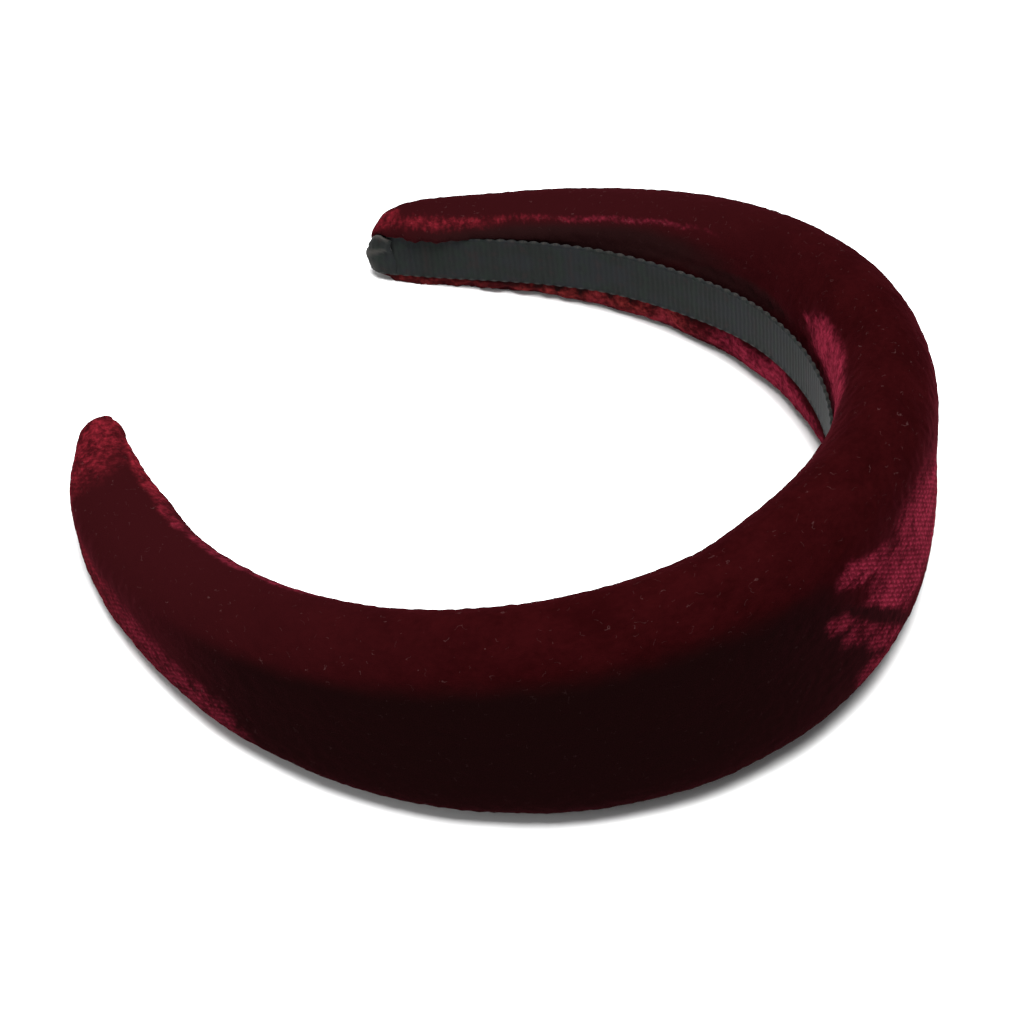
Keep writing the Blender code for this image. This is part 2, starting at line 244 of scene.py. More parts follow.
class Wire:
    """A socket of a material, so that Python's operators on it add Math nodes."""

    def __init__(self, tree, socket):
        self.tree = tree
        self.socket = socket

    def join(self, kind, settings=(), inputs=(), output=0):
        """Any node: its type, its settings, its sockets' values or wires, and its output."""
        node = self.tree.nodes.new("ShaderNode" + kind)
        for name, value in dict(settings).items():
            setattr(node, name, value)
        for name, value in dict(inputs).items():
            socket = node.inputs[name]
            if isinstance(value, Wire):
                self.tree.links.new(value.socket, socket)
            elif isinstance(value, (tuple, list)) and len(socket.default_value) == 4:
                socket.default_value = (*value, 1.0)
            else:
                socket.default_value = value
        return Wire(self.tree, node.outputs[output])

    def math(self, operation, first, second):
        return self.join("Math", {"operation": operation}, {0: first, 1: second})

    def __add__(self, other):
        if isinstance(other, Wire) and self.socket.type == other.socket.type == "VECTOR":
            return self.join("VectorMath", {"operation": "ADD"}, {0: self, 1: other})
        return self.math("ADD", self, other)

    def __radd__(self, other):
        return self.math("ADD", other, self)

    def __sub__(self, other):
        return self.math("SUBTRACT", self, other)

    def __rsub__(self, other):
        return self.math("SUBTRACT", other, self)

    def __mul__(self, other):
        return self.math("MULTIPLY", self, other)

    def __rmul__(self, other):
        return self.math("MULTIPLY", other, self)

    def sine(self):
        return self.join("Math", {"operation": "SINE"}, {0: self})

    def size(self):
        return self.join("Math", {"operation": "ABSOLUTE"}, {0: self})

    def step(self, low, high):
        """A smooth step from 0 at low to 1 at high."""
        return self.join(
            "MapRange", {"interpolation_type": "SMOOTHSTEP"},
            {"Value": self, "From Min": low, "From Max": high, "To Min": 0.0, "To Max": 1.0},
        )

    def scaled(self, x, y, z):
        """A vector with each of its parts scaled."""
        return self.join("VectorMath", {"operation": "MULTIPLY"}, {0: self, 1: (x, y, z)})

    def dot(self, direction):
        """How far a vector runs in a direction."""
        return self.join("VectorMath", {"operation": "DOT_PRODUCT"}, {0: self, 1: direction}, "Value")

    def grain(self, scale, detail=2.0, roughness=0.5):
        """Noise from 0 to 1 at these coordinates."""
        return self.join(
            "TexNoise", {}, {"Vector": self, "Scale": scale, "Detail": detail, "Roughness": roughness}
        )

    def part(self, axis):
        """One part of a vector."""
        return self.join("SeparateXYZ", {}, {0: self}, axis)

    def blend(self, first, second):
        """A colour between two, with this wire as the share of the second."""
        return self.join(
            "Mix", {"data_type": "RGBA", "clamp_factor": True}, {0: self, 6: first, 7: second}, 2
        )


def start_material(name):
    """A new material's shader node and a wire that starts nodes in its tree."""
    material = bpy.data.materials.new(name)
    material.use_nodes = True
    shader = material.node_tree.nodes["Principled BSDF"]
    return material, shader, Wire(material.node_tree, None)


def plug(wire, shader, socket):
    wire.tree.links.new(wire.socket, shader.inputs[socket])


def knit_rows(start, tuft, fine, cloud):
    """The knit's small loops, which show where the pile is painted with sheen. Noise bends and breaks
    its rows.
    """
    spot = start.join("TexCoord", {}, output="Object")
    rows = spot.dot(KNIT_RISE) * (2 * pi)
    knots = spot.dot(KNIT_RUN) * (2 * pi)
    row = (rows + tuft * 6.5 + fine * 5.0 + cloud * 6.0).sine()
    knot = (knots + rows * 0.5 + fine * 5.0 + tuft * 4.0 + cloud * 9.0).sine()
    return row.step(-0.7, 0.95) * (0.25 + 0.75 * knot.step(-0.6, 0.7)) * (2.8 * fine - 0.35)


def lint_and_dust(start, place):
    """How strongly stray curled fibres and specks of dust show on the pile."""
    bend = start.join("TexNoise", {}, {"Vector": place, "Scale": 0.5}, "Color").scaled(3, 3, 3)
    fibre = (place + bend).grain(0.42, 0.0)
    island = place.grain(0.80, 0.0).step(0.655, 0.68)
    lint = (0.012 - (fibre - 0.5).size()).step(0.0, 0.010) * island
    speck = start.join("TexVoronoi", {"feature": "F1"}, {"Vector": place, "Scale": 0.35})
    dust = (0.05 - speck).step(0.0, 0.03) * place.grain(0.9, 0.0).step(0.54, 0.58)
    return lint * 0.08 + dust * 0.13


def velvet_material(velvet):
    """Burgundy pile: a dark body, painted sheen patches and painted shade, knit rows, lint and a fine
    grain.
    """
    material, shader, start = start_material("burgundy_velvet")
    place = start.join("Attribute", {"attribute_name": PLACE}, output="Vector")
    nap = start.join("Attribute", {"attribute_name": PAINTED_SHEEN}, output="Fac")
    shade = start.join("Attribute", {"attribute_name": SHADE}, output="Fac")
    along = place.part("X")
    out = place.part("Y")
    up = place.part("Z")
    inward = -1.0 * out
    cloud = place.grain(0.11, 3.0, 0.6)
    blotch = place.grain(0.30, 3.0, 0.65)
    tuft = place.grain(0.9, 2.0, 0.6)
    fine = place.grain(2.6, 2.0, 0.6)

    dim = tuple(c * 0.76 for c in velvet.body)
    bright = tuple(c * 1.26 for c in velvet.body)
    body = (tuft * 0.35 + cloud * 0.65).step(0.30, 0.72).blend(dim, bright)
    on_arms = along.size().step(50.0, 135.0)
    body = on_arms.blend(body, tuple(velvet.arms))
    # Painted shade: the body darkened where the shade attribute says, with another colour on the slopes
    # above the ribbon
    on_slope = inward.step(-8.0, -4.0)
    body = shade.blend(body, on_slope.blend(tuple(velvet.deep), tuple(velvet.hollow)))

    stitch = knit_rows(start, tuft, fine, cloud)
    outside = out.step(9.0, 13.0)
    # Painted sheen: the pile painted lighter where the sheen attribute says, mottled at the patches'
    # edges
    edge = nap * (1.0 - nap) * 4.0
    light = nap + ((tuft - 0.5) * 0.9 + (fine - 0.5) * 0.4 + (blotch - 0.5) * 0.8) * edge
    light = light - (1.0 - blotch.step(0.36, 0.56)) * outside * nap * 0.32
    pile = (tuft * 0.5 + blotch * 0.5).step(0.30, 0.70)
    pile = pile * (1.0 - 0.50 * outside) + stitch * outside * 0.85

    # Painted sheen colours: warmer on the lower roll below the ribbon, pinker near the tips
    on_low_roll = (-1.0 * up).step(2.0, 7.0) * inward.step(-4.0, -1.0) * along.step(94.0, 112.0)
    near_tips = along.size().step(120.0, 158.0)
    sheen_colour = on_low_roll.blend(tuple(velvet.light), tuple(velvet.warm))
    sheen_colour = (near_tips * (1.0 - on_low_roll)).blend(sheen_colour, tuple(velvet.berry))
    sheen_colour = pile.blend(sheen_colour.scaled(0.38, 0.38, 0.38), sheen_colour.scaled(1.75, 1.75, 1.75))
    colour = light.blend(body, sheen_colour)
    colour = (lint_and_dust(start, place) * (1.0 - 0.7 * shade)).blend(colour, tuple(velvet.lint))
    plug(colour, shader, "Base Color")
    plug(0.86 + 0.12 * tuft, shader, "Roughness")

    height = tuft * 0.6 + fine * 0.5 + stitch * outside * nap * 0.5
    bump = start.join("Bump", {}, {"Strength": 0.55, "Distance": 0.25 * MM, "Height": height})
    plug(bump, shader, "Normal")
    shader.inputs["Specular IOR Level"].default_value = 0.0
    shader.inputs["Sheen Weight"].default_value = velvet.sheen_weight
    shader.inputs["Sheen Roughness"].default_value = 0.35
    shader.inputs["Sheen Tint"].default_value = (*velvet.sheen, 1.0)
    return material


def ribbon_material(ribbon):
    """Dark green-grey grosgrain: rib crests and grooves with painted shade in the grooves, threads, pale
    picot tips with a painted highlight, and the tabs' painted light and shade.
    """
    material, shader, start = start_material("grey_grosgrain")
    uv = start.join("UVMap", {"uv_map": "cloth"}, output="UV")
    across = uv.part("X")
    side = uv.part("Y")
    streak = uv.scaled(1.0, 0.35, 1.0).grain(0.9, 3.0, 0.65)
    thread = uv.scaled(3.0, 6.0, 1.0).grain(1.0, 1.0, 0.5)
    cloud = uv.scaled(0.12, 1.2, 1.0).grain(1.0, 2.0, 0.5)
    tint = uv.scaled(0.45, 2.0, 1.0).grain(1.0, 2.0, 0.6)
    crest = 0.5 + 0.5 * (across * (2 * pi)).sine()
    on_crest = (crest * 0.38 + streak * 1.5 - 0.50).step(0.0, 1.0)
    # Painted shade in the grooves between the ribs, broken up by random streaks
    colour = on_crest.blend(tuple(ribbon.groove), tuple(ribbon.thread))
    colour = (cloud.step(0.38, 0.62) * 0.6).blend(colour, tuple(ribbon.cool))
    colour = (tint.step(0.50, 0.66) * 0.6).blend(colour, tuple(ribbon.green))
    colour = ((1.0 - tint).step(0.54, 0.68) * 0.5).blend(colour, tuple(ribbon.pink))
    # Painted highlight on the tips of the edge's loops
    picot = side.step(0.88, 0.98)
    colour = (picot * (0.25 + 0.70 * thread.step(0.40, 0.65))).blend(colour, tuple(ribbon.tip))
    # Painted highlights on the tabs' folds and a paler lower lobe above 0, painted shade below 0
    fold = start.join("Attribute", {"attribute_name": FOLD_LIGHT_AND_SHADE}, output="Fac")
    notch_shadow_colour = tuple(c * 0.2 for c in ribbon.groove)
    fold_highlight_colour = tuple(c * 1.7 for c in ribbon.tip)
    colour = fold.blend((-1.0 * fold).blend(colour, notch_shadow_colour), fold_highlight_colour)
    plug(colour, shader, "Base Color")
    plug(0.75 + 0.2 * thread, shader, "Roughness")
    height = thread * 0.5 + crest * 0.5 + streak * 0.5
    bump = start.join("Bump", {}, {"Strength": 0.4, "Distance": 0.1 * MM, "Height": height})
    plug(bump, shader, "Normal")
    shader.inputs["Specular IOR Level"].default_value = 0.05
    shader.inputs["Sheen Weight"].default_value = 0.05
    return material


def floor_material(stage):
    material, shader, start = start_material("studio_floor")
    place = start.join("TexCoord", {}, output="Object")
    tone = place.grain(6.0, 2.0, 0.5)
    low = tuple(0.995 * c for c in stage.floor)
    plug(tone.blend(low, tuple(stage.floor)), shader, "Base Color")
    shader.inputs["Roughness"].default_value = 0.9
    shader.inputs["Specular IOR Level"].default_value = 0.0
    return material


class Band:
    """The band's own directions, read from the meshes of the lining and the pad."""

    SAMPLES = 8             # points of the smooth curve for each point of the lining
    OVERHANG = 12.0 * MM    # how far the curve runs on past each tip
    STOPS = 65              # places along the band where the section is measured
    UPWARD = 0.97           # least rise of an edge that may run up the band
    PARALLEL = 0.9999       # how nearly such an edge has to run in the band's up direction
    CHUNK = 20000           # points located at a time

    def __init__(self):
        lining = merged(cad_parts["ribbon_lining"])
        pairs = [sorted(edge.verts, key=lambda vertex: vertex.co.z) for edge in lining.edges]
        edges = np.array([[vertex.co for vertex in pair] for pair in pairs])
        lining.free()
        rise = edges[:, 1] - edges[:, 0]
        rise /= np.linalg.norm(rise, axis=1)[:, None]
        self.up = np.median(rise[rise[:, 2] > self.UPWARD], axis=0)
        self.up /= np.linalg.norm(self.up)
        self.back = np.array([0.0, self.up[2], -self.up[1]])
        middles = edges[rise @ self.up > self.PARALLEL].mean(axis=1)
        hollow = middles.mean(axis=0)
        apart = np.linalg.norm(middles[:, None] - middles[None], axis=2)
        np.fill_diagonal(apart, 1.0)
        partner = apart.argmin(axis=1)
        reach = np.linalg.norm(middles - hollow, axis=1)
        face = middles[reach < reach[partner]]
        face = face[np.argsort(np.arctan2(face[:, 0], hollow[1] - face[:, 1]))]
        points = self.smooth(face)
        ends = [points[0] - points[1], points[-1] - points[-2]]
        before = points[0] + ends[0] / np.linalg.norm(ends[0]) * self.OVERHANG
        after = points[-1] + ends[1] / np.linalg.norm(ends[1]) * self.OVERHANG
        points = np.vstack([before, points, after])
        self.origin = points
        run = np.linalg.norm(np.diff(self.flat(points), axis=0), axis=1)
        self.along = np.concatenate([[0.0], np.cumsum(run)])
        self.along -= (self.along[0] + self.along[-1]) / 2
        self.half = self.along[-1] - self.OVERHANG
        flat = self.flat(points)
        heading = np.gradient(flat, self.along, axis=0)
        heading /= np.linalg.norm(heading, axis=1)[:, None]
        self.heading = heading
        self.outward = np.column_stack([heading[:, 1], -heading[:, 0]])
        bearing = np.unwrap(np.arctan2(heading[:, 1], heading[:, 0]))
        self.turning = np.gradient(bearing, self.along)
        self.measure()

    def smooth(self, points):
        """More points on a round curve through these."""
        points = np.vstack([2 * points[0] - points[1], points, 2 * points[-1] - points[-2]])
        a, b, c, d = (points[i:len(points) - 3 + i, None] for i in range(4))
        t = (np.arange(self.SAMPLES) / self.SAMPLES)[None, :, None]
        curve = 0.5 * (
            2 * b + (c - a) * t + (2 * a - 5 * b + 4 * c - d) * t ** 2 + (3 * b - a - 3 * c + d) * t ** 3
        )
        return np.vstack([curve.reshape(-1, 3), points[-2]])

    def flat(self, points):
        """Points as seen along the band's up direction."""
        return np.column_stack([points[:, 0], points @ self.back])

    def measure(self):
        """The section's reach at each place along the band, from the pad's mesh."""
        pad = merged(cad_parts["velvet_pad"])
        place = self.locate(np.array([vertex.co for vertex in pad.verts]))
        pad.free()
        self.stops = np.linspace(-self.half, self.half, self.STOPS)
        width = (self.stops[1] - self.stops[0]) * 0.8
        near = [place[np.abs(place[:, 0] - stop) < width] for stop in self.stops]
        self.top = np.array([rows[:, 2].max() for rows in near])
        self.outer = np.array([rows[:, 1].max() for rows in near])

    def locate(self, points):
        """Along, out and up of points given in metres."""
        flat = self.flat(points)
        found = np.empty((len(points), 3))
        curve = self.flat(self.origin)
        for start in range(0, len(points), self.CHUNK):
            some = slice(start, start + self.CHUNK)
            away = ((flat[some, None] - curve[None]) ** 2).sum(axis=2)
            k = away.argmin(axis=1)
            offset = flat[some] - curve[k]
            out = (offset * self.outward[k]).sum(axis=1)
            slip = (offset * self.heading[k]).sum(axis=1) / (1 + out * self.turning[k])
            along = self.along[k] + slip
            found[some, 0] = along
            height = np.interp(along, self.along, self.origin @ self.up)
            found[some, 2] = points[some] @ self.up - height
            x = np.interp(along, self.along, curve[:, 0])
            y = np.interp(along, self.along, curve[:, 1])
            found[some, 1] = np.hypot(flat[some, 0] - x, flat[some, 1] - y) * np.sign(out)
        return found

    def turn(self, place):
        """Degrees round the section of places in millimetres, 0 on the outer side and 90 on top."""
        top = np.interp(place[:, 0] * MM, self.stops, self.top) / MM
        outer = np.interp(place[:, 0] * MM, self.stops, self.outer) / MM
        return np.degrees(np.arctan2(place[:, 2] / top, place[:, 1] * 2 / outer - 1))

    def put(self, along, out, up):
        """Points in metres at places along, out and up."""
        along, out, up = (np.asarray(v, float) for v in (along, out, up))
        origin = np.column_stack([np.interp(along, self.along, self.origin[:, i]) for i in range(3)])
        side = np.column_stack([np.interp(along, self.along, self.outward[:, i]) for i in range(2)])
        side /= np.linalg.norm(side, axis=1)[:, None]
        outward = side[:, :1] * np.array([[1.0, 0, 0]]) + side[:, 1:] * self.back[None]
        return origin + outward * out[:, None] + self.up[None] * up[:, None]


def merged(node):
    """A node's mesh as a bmesh with its loose triangles joined up."""
    body = bmesh.new()
    body.from_mesh(node.data)
    bmesh.ops.remove_doubles(body, verts=body.verts, dist=0.001 * MM)
    return body


def add_piece(name, mesh, material, node_names):
    """Give a piece its mesh and material, and let it stand for its CAD nodes."""
    mesh.materials.clear()
    mesh.materials.append(material)
    piece = bpy.data.objects.new(name, mesh)
    bpy.context.scene.collection.objects.link(piece)
    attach(piece, "root")
    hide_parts(*node_names)
    return piece


def drafted(mesh):
    """A passing object that holds a mesh while modifiers work on it."""
    draft = bpy.data.objects.new("padding", mesh)
    bpy.context.scene.collection.objects.link(draft)
    return draft


def baked(draft):
    """A new mesh with a draft's modifiers worked in. The draft is removed."""
    evaluated = draft.evaluated_get(bpy.context.evaluated_depsgraph_get())
    mesh = bpy.data.meshes.new_from_object(evaluated)
    bpy.data.objects.remove(draft)
    return mesh


def points_of(mesh):
    points = np.empty(len(mesh.vertices) * 3)
    mesh.vertices.foreach_get("co", points)
    return points.reshape(-1, 3)


def normals_of(mesh):
    normals = np.empty(len(mesh.vertices) * 3, np.float32)
    mesh.vertex_normals.foreach_get("vector", normals)
    return normals.reshape(-1, 3).astype(float)


def set_points(mesh, points):
    mesh.vertices.foreach_set("co", points.ravel())
    mesh.update()


def noise_at(points, size):
    """Smooth noise from -1 to 1, with features of about this size."""
    return np.array([noise.noise(Vector(point)) for point in points / size])


def bell(distance):
    """1 at 0, falling smoothly to 0 at a distance of 1."""
    inside = np.clip(1 - distance ** 2, 0, 1)
    return inside * inside


def patched(along, turn, patches):
    """How strongly the patches reach each place."""
    value = np.zeros(len(along))
    for patch in patches:
        away_round = (turn - patch.round + 180) % 360 - 180
        away_along = along - patch.along - patch.slant * away_round
        distance = np.hypot(away_along / patch.reach_along, away_round / patch.reach_round)
        value = np.maximum(value, patch.strength * ramp(1 - distance, 0.0, 0.55))
    return value


def ramp(value, low, high):
    """A smooth step from 0 at low to 1 at high."""
    share = np.clip((value - low) / (high - low), 0, 1)
    return share * share * (3 - 2 * share)


def shaded_side(along, turn):
    """Painted shade on the outer side, which gets less of the light from above: below the ridge, but not
    at the tips.
    """
    ridge = 33 - 6 * ramp(along, -30, 0)
    below = ramp(ridge + 7 - turn, 0, 14) * ramp(turn, -75, -60)
    near = ramp(along, -128, -98) * ramp(-1.5 - 0.25 * turn - along, -4, 4)
    far = ramp(along, 40, 56) * ramp(-along, -160, -140)
    return below * np.maximum(near, far)


def padding_mesh(velvet):
    """The pad's own mesh as even quads."""
    mesh = bpy.data.meshes.new("padding")
    body = merged(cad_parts["velvet_pad"])
    body.to_mesh(mesh)
    body.free()
    draft = drafted(mesh)
    remesh = draft.modifiers.new("even", "REMESH")
    remesh.mode = "VOXEL"
    remesh.voxel_size = velvet.mesh_size
    return baked(draft)


def swell(mesh, band, velvet):
    """Let the foam press the cover out from a slightly smaller shape, held beside the ribbon."""
    full = points_of(mesh)
    place = band.locate(full) / MM
    beside_ribbon = (place[:, 1] < HELD_OUT) & (np.abs(place[:, 2]) < HELD_UP)
    held = beside_ribbon | (full[:, 2] < FLOOR_REACH)
    start = full - normals_of(mesh) * velvet.slack * ~held[:, None]
    set_points(mesh, start)
    draft = drafted(mesh)
    group = draft.vertex_groups.new(name="held")
    group.add([int(i) for i in np.flatnonzero(held)], 1.0, "REPLACE")
    cloth = draft.modifiers.new("cover", "CLOTH")
    cloth.settings.quality = 4
    cloth.settings.mass = 0.0002
    cloth.settings.tension_stiffness = 8
    cloth.settings.compression_stiffness = 8
    cloth.settings.shear_stiffness = 4
    cloth.settings.bending_stiffness = 0.2
    cloth.settings.vertex_group_mass = "held"
    cloth.settings.use_pressure = True
    cloth.settings.uniform_pressure_force = velvet.pressure
    cloth.settings.effector_weights.gravity = 0
    cloth.collision_settings.use_collision = False
    for step in range(1, SWELL_STEPS + 1):
        bpy.context.scene.frame_set(step)
    result = baked(draft)
    bpy.context.scene.frame_set(1)
    moved = points_of(result) - full
    size = np.linalg.norm(moved, axis=1)[:, None]
    moved *= np.minimum(1.0, velvet.cap / np.maximum(size, 1e-9))
    normals = normals_of(result)
    loss = (moved * normals).sum(axis=1)[~held].mean()
    set_points(result, full + moved - normals * loss * ~held[:, None])
    return result


def finer(mesh):
    """One level of subdivision, worked in."""
    draft = drafted(mesh)
    smooth = draft.modifiers.new("smooth", "SUBSURF")
    smooth.levels = 1
    smooth.render_levels = 1
    return baked(draft)


def fill_tips(points, place, band):
    """Round the pile at each tip and let it roll over the ribbon's edges. The shifts are in mm."""
    along, out, up = place.T
    far = np.abs(along)
    high = np.abs(up)
    right = along > 0
    tip = ramp(far, TIP_START, TIP_FULL)
    end = tip * ramp(high, 3.0, 6.0)
    inner = ramp(-out, -5.0, -1.5)
    roll = ramp(far, 125.0, 150.0) * ramp(-far, -182.0, -172.0) * bell((high - 8.0) / 3.4) * inner
    roll *= np.where(right, 1.0, 0.75)
    hang = ramp(along, 152.0, 171.0) * ramp(-along, -181.6, -179.4) * bell((up - 6.8) / 3.0) * inner
    hang *= 1.0 + 0.13 * np.sin(along / 0.9) + 0.07 * np.sin(along / 0.37)
    cover = ramp(-along, 169.0, 174.0) * ramp(along, -182.0, -177.0) * bell((up - 7.2) / 3.2) * inner
    sliver = tip * bell((up - 2.4) / 4.6)
    held_back = np.where(up > 0, 0.9 * tip * ramp(up, 6.5, 8.0), -0.9 * end)
    top = (0.4 * ramp(far, 155.0, 170.0) + 0.8 * right * ramp(far, 164.0, 175.0)) * ramp(up, 4.0, 8.0)
    shift_along = np.where(right, 1.4 * sliver - held_back, -end)
    shift_out = -1.5 * roll - 2.0 * hang - cover
    shift_up = np.sign(up) * (0.3 * end - 0.8 * roll) - 1.3 * hang + top
    moved = band.put(*((place + np.column_stack([shift_along, shift_out, shift_up])).T * MM))
    low = points[:, 2] < FLOOR_REACH
    moved[:, 2] = np.where(low, points[:, 2], np.maximum(moved[:, 2], 0.0))
    return moved


def fuller(place):
    """How far the pile stands out from the frame, in millimetres."""
    along, out, up = place.T
    free = ramp(np.maximum(out - 1.5, np.abs(up) - 7.0), 0.0, 2.0)
    height = 0.35 * ramp(-np.abs(along), -181.0, -TIP_START)
    for bulge in BULGES:
        share = ramp(out, bulge.empty, bulge.full)
        height = height + bulge.height * bell((along - bulge.along) / bulge.reach) * share
    return free * height


def gathering(place):
    """Where a place is between one gather beside the ribbon and the next, from 0 to 1."""
    along, _, up = place.T
    swing = along + 1.3 * np.sin(along / 7.1) + 0.9 * np.sin(along / 3.3 + 1.0)
    return ((swing - np.sign(along) * 0.5 * (np.abs(up) - 5.6)) / GATHER_PITCH) % 1.0


def drawn_in(place):
    """How far the cover is drawn in beside the ribbon, from 0 to 1."""
    along, out, up = place.T
    lower = bell((up + 8.0) / 4.2) * bell(np.clip(out - 1.3, 0, None) / 4.5)
    upper = bell((up - 7.4) / 2.6) * bell(np.clip(out - 1.3, 0, None) / 3.0) * 0.35
    crease = (0.5 + 0.5 * np.cos(2 * pi * (gathering(place) - 0.5))) ** 2
    uneven = 0.65 + 0.35 * np.sin(along / 11.0 + 0.6)
    return (lower + upper) * crease * uneven


def strip_shadows(place):
    """Dark wedges between the gathers, under the ribbon's lower edge, from 0 to 1."""
    along, out, up = place.T
    below = -up - WEDGE_TOP
    half = 0.02 + 0.24 * np.clip(1 - below / 2.6, 0, 1) ** 1.5
    wedge = ramp(half + 0.07 - np.abs(gathering(place) - 0.5), 0.0, 0.14)
    reach = ramp(-out, -6.0, -3.0) * ramp(-up, 4.5, 5.5) * ramp(up, -13.0, -10.5)
    share = 0.25 + 0.75 * ramp(np.abs(along), 88.0, 104.0) * ramp(-np.abs(along), -160.0, -140.0)
    return wedge * reach * share


def add_attribute(mesh, name, kind, values):
    attribute = mesh.attributes.new(name, kind, "POINT")
    field = "vector" if kind == "FLOAT_VECTOR" else "value"
    attribute.data.foreach_set(field, np.ascontiguousarray(values, np.float32).ravel())


def ruffled(mesh, band, velvet):
    """The cover's points with its pile, dents and puckers, and their places in millimetres."""
    points = points_of(mesh)
    normals = normals_of(mesh)
    place = band.locate(points) / MM
    points = points + normals * (fuller(place) * MM)[:, None]
    place = band.locate(points) / MM
    points = fill_tips(points, place, band)
    place = band.locate(points) / MM
    grounded = points[:, 2] < GROUNDED
    points[:, 2] = np.maximum(points[:, 2], 0.0)
    tuft = noise_at(points, TUFT_SIZE) * velvet.pile_height
    dent = noise_at(points, DENT_SIZE) * velvet.dent_depth
    move = tuft + dent - velvet.pucker_depth * drawn_in(place)
    points = points + normals * (move * ~grounded)[:, None]
    points[:, 2] = np.maximum(points[:, 2], 0.0)
    return points, place


def paint_sheen_and_shade(mesh, points, place, band):
    """Keep each point's place, and how strongly painted sheen and painted shade lie on it."""
    turn = band.turn(place)
    loose = noise_at(points + 0.5, 4 * MM)
    along = place[:, 0] + 0.9 * noise_at(points, 9 * MM) + 0.8 * loose
    around = turn + 2.4 * noise_at(points + 0.2, 7 * MM) + 1.8 * loose
    # Painted shade in the crease and on the slopes above the ribbon, painted sheen in the patches,
    # painted shade on the outer side
    dark = patched(place[:, 0] + 0.5 * loose, turn + loose, SHADE_PATCHES)
    light = patched(along, around, SHEEN_PATCHES) * (1 - dark)
    shade = np.maximum(shaded_side(along, turn + 2.0 * loose) * (1 - ramp(light, 0.1, 0.6)), dark)
    # Painted shadow in the wedges below the ribbon, which also takes the sheen away there
    wedge_shadow = strip_shadows(place)
    add_attribute(mesh, PLACE, "FLOAT_VECTOR", place)
    add_attribute(mesh, PAINTED_SHEEN, "FLOAT", light * (1 - wedge_shadow))
    add_attribute(mesh, SHADE, "FLOAT", np.maximum(shade, 0.9 * wedge_shadow))


def make_velvet_pad(band, velvet):
    """The padded cover, swollen by a cloth simulation."""
    mesh = padding_mesh(velvet)
    mesh = swell(mesh, band, velvet)
    mesh = finer(mesh)
    points, place = ruffled(mesh, band, velvet)
    set_points(mesh, points)
    mesh.shade_smooth()
    paint_sheen_and_shade(mesh, points, place, band)
    piece = add_piece("velvet_cover", mesh, velvet_material(velvet), ["velvet_pad"])


def ribbon_strip(length, ribbon):
    """A flat grid for a ribbon: x along it, y across it, both in metres."""
    strip = bmesh.new()
    rings = max(2, round(length / ribbon.rib_pitch)) * RINGS_TO_A_RIB
    bmesh.ops.create_grid(strip, x_segments=rings, y_segments=STRIPS_ACROSS, size=0.5)
    bmesh.ops.scale(strip, vec=(length, ribbon.width, 1.0), verts=strip.verts)
    return strip


def picot_loops(along, ribbon):
    """Where a place is on the edge's small loops: 1 on a loop and 0 between two."""
    return 0.5 + 0.5 * np.cos(2 * pi * along / (2 * ribbon.rib_pitch))


def ribbon_relief(along, across, half, ribbon):
    """How far the ribbon's face stands out, and how far its edge does, at a place on it."""
    lean = 0.22 * ribbon.rib_pitch * np.abs(2 * ((across / (4.4 * MM)) % 1.0) - 1)
    rib = np.sin(2 * pi * (along + lean) / ribbon.rib_pitch)
    edge = np.clip((np.abs(across) / half - 0.82) / 0.18, 0, 1)
    loop = picot_loops(along, ribbon)
    reach = ribbon.picot_depth * edge * (loop ** 0.7 - 1.0)
    curl = 0.25 * MM * edge * edge * (1 - loop)
    height = ribbon.rib_height * (0.5 + 0.5 * rib) * (1 - 0.6 * edge) + curl
    return height, reach


def dress_strip(strip, place, half, ribbon):
    """Shape a ribbon grid on the band and keep its cloth coordinates. Returns the flat grid."""
    flat = np.array([vertex.co for vertex in strip.verts])
    height, reach = ribbon_relief(flat[:, 0], flat[:, 1], half, ribbon)
    across = flat[:, 1] + np.sign(flat[:, 1]) * reach
    spots = place(flat[:, 0], -height, across)
    cloth = strip.loops.layers.uv.new("cloth")
    for vertex, (x, y, _) in zip(strip.verts, flat):
        loop = picot_loops(x, ribbon)
        for corner in vertex.link_loops:
            corner[cloth].uv = (x / ribbon.rib_pitch, abs(y) / half * (0.86 + 0.14 * loop))
    for vertex, spot in zip(strip.verts, spots):
        vertex.co = spot
    return flat


def close_strip(strip, name, thickness, band):
    """Thicken a shaped strip towards the pad, and make it a mesh."""
    strip.normal_update()
    strip.faces.ensure_lookup_table()
    face = strip.faces[len(strip.faces) // 2]
    middle = np.array(face.calc_center_median())
    along = band.locate(middle[None])[0, 0]
    outward = band.put([along], [MM], [0.0])[0] - band.put([along], [0.0], [0.0])[0]
    if np.dot(outward, face.normal) > 0:
        bmesh.ops.reverse_faces(strip, faces=strip.faces)
    bmesh.ops.solidify(strip, geom=strip.faces[:], thickness=thickness)
    bmesh.ops.recalc_face_normals(strip, faces=strip.faces)
    mesh = bpy.data.meshes.new(name)
    strip.to_mesh(mesh)
    strip.free()
    mesh.shade_smooth()
    return mesh


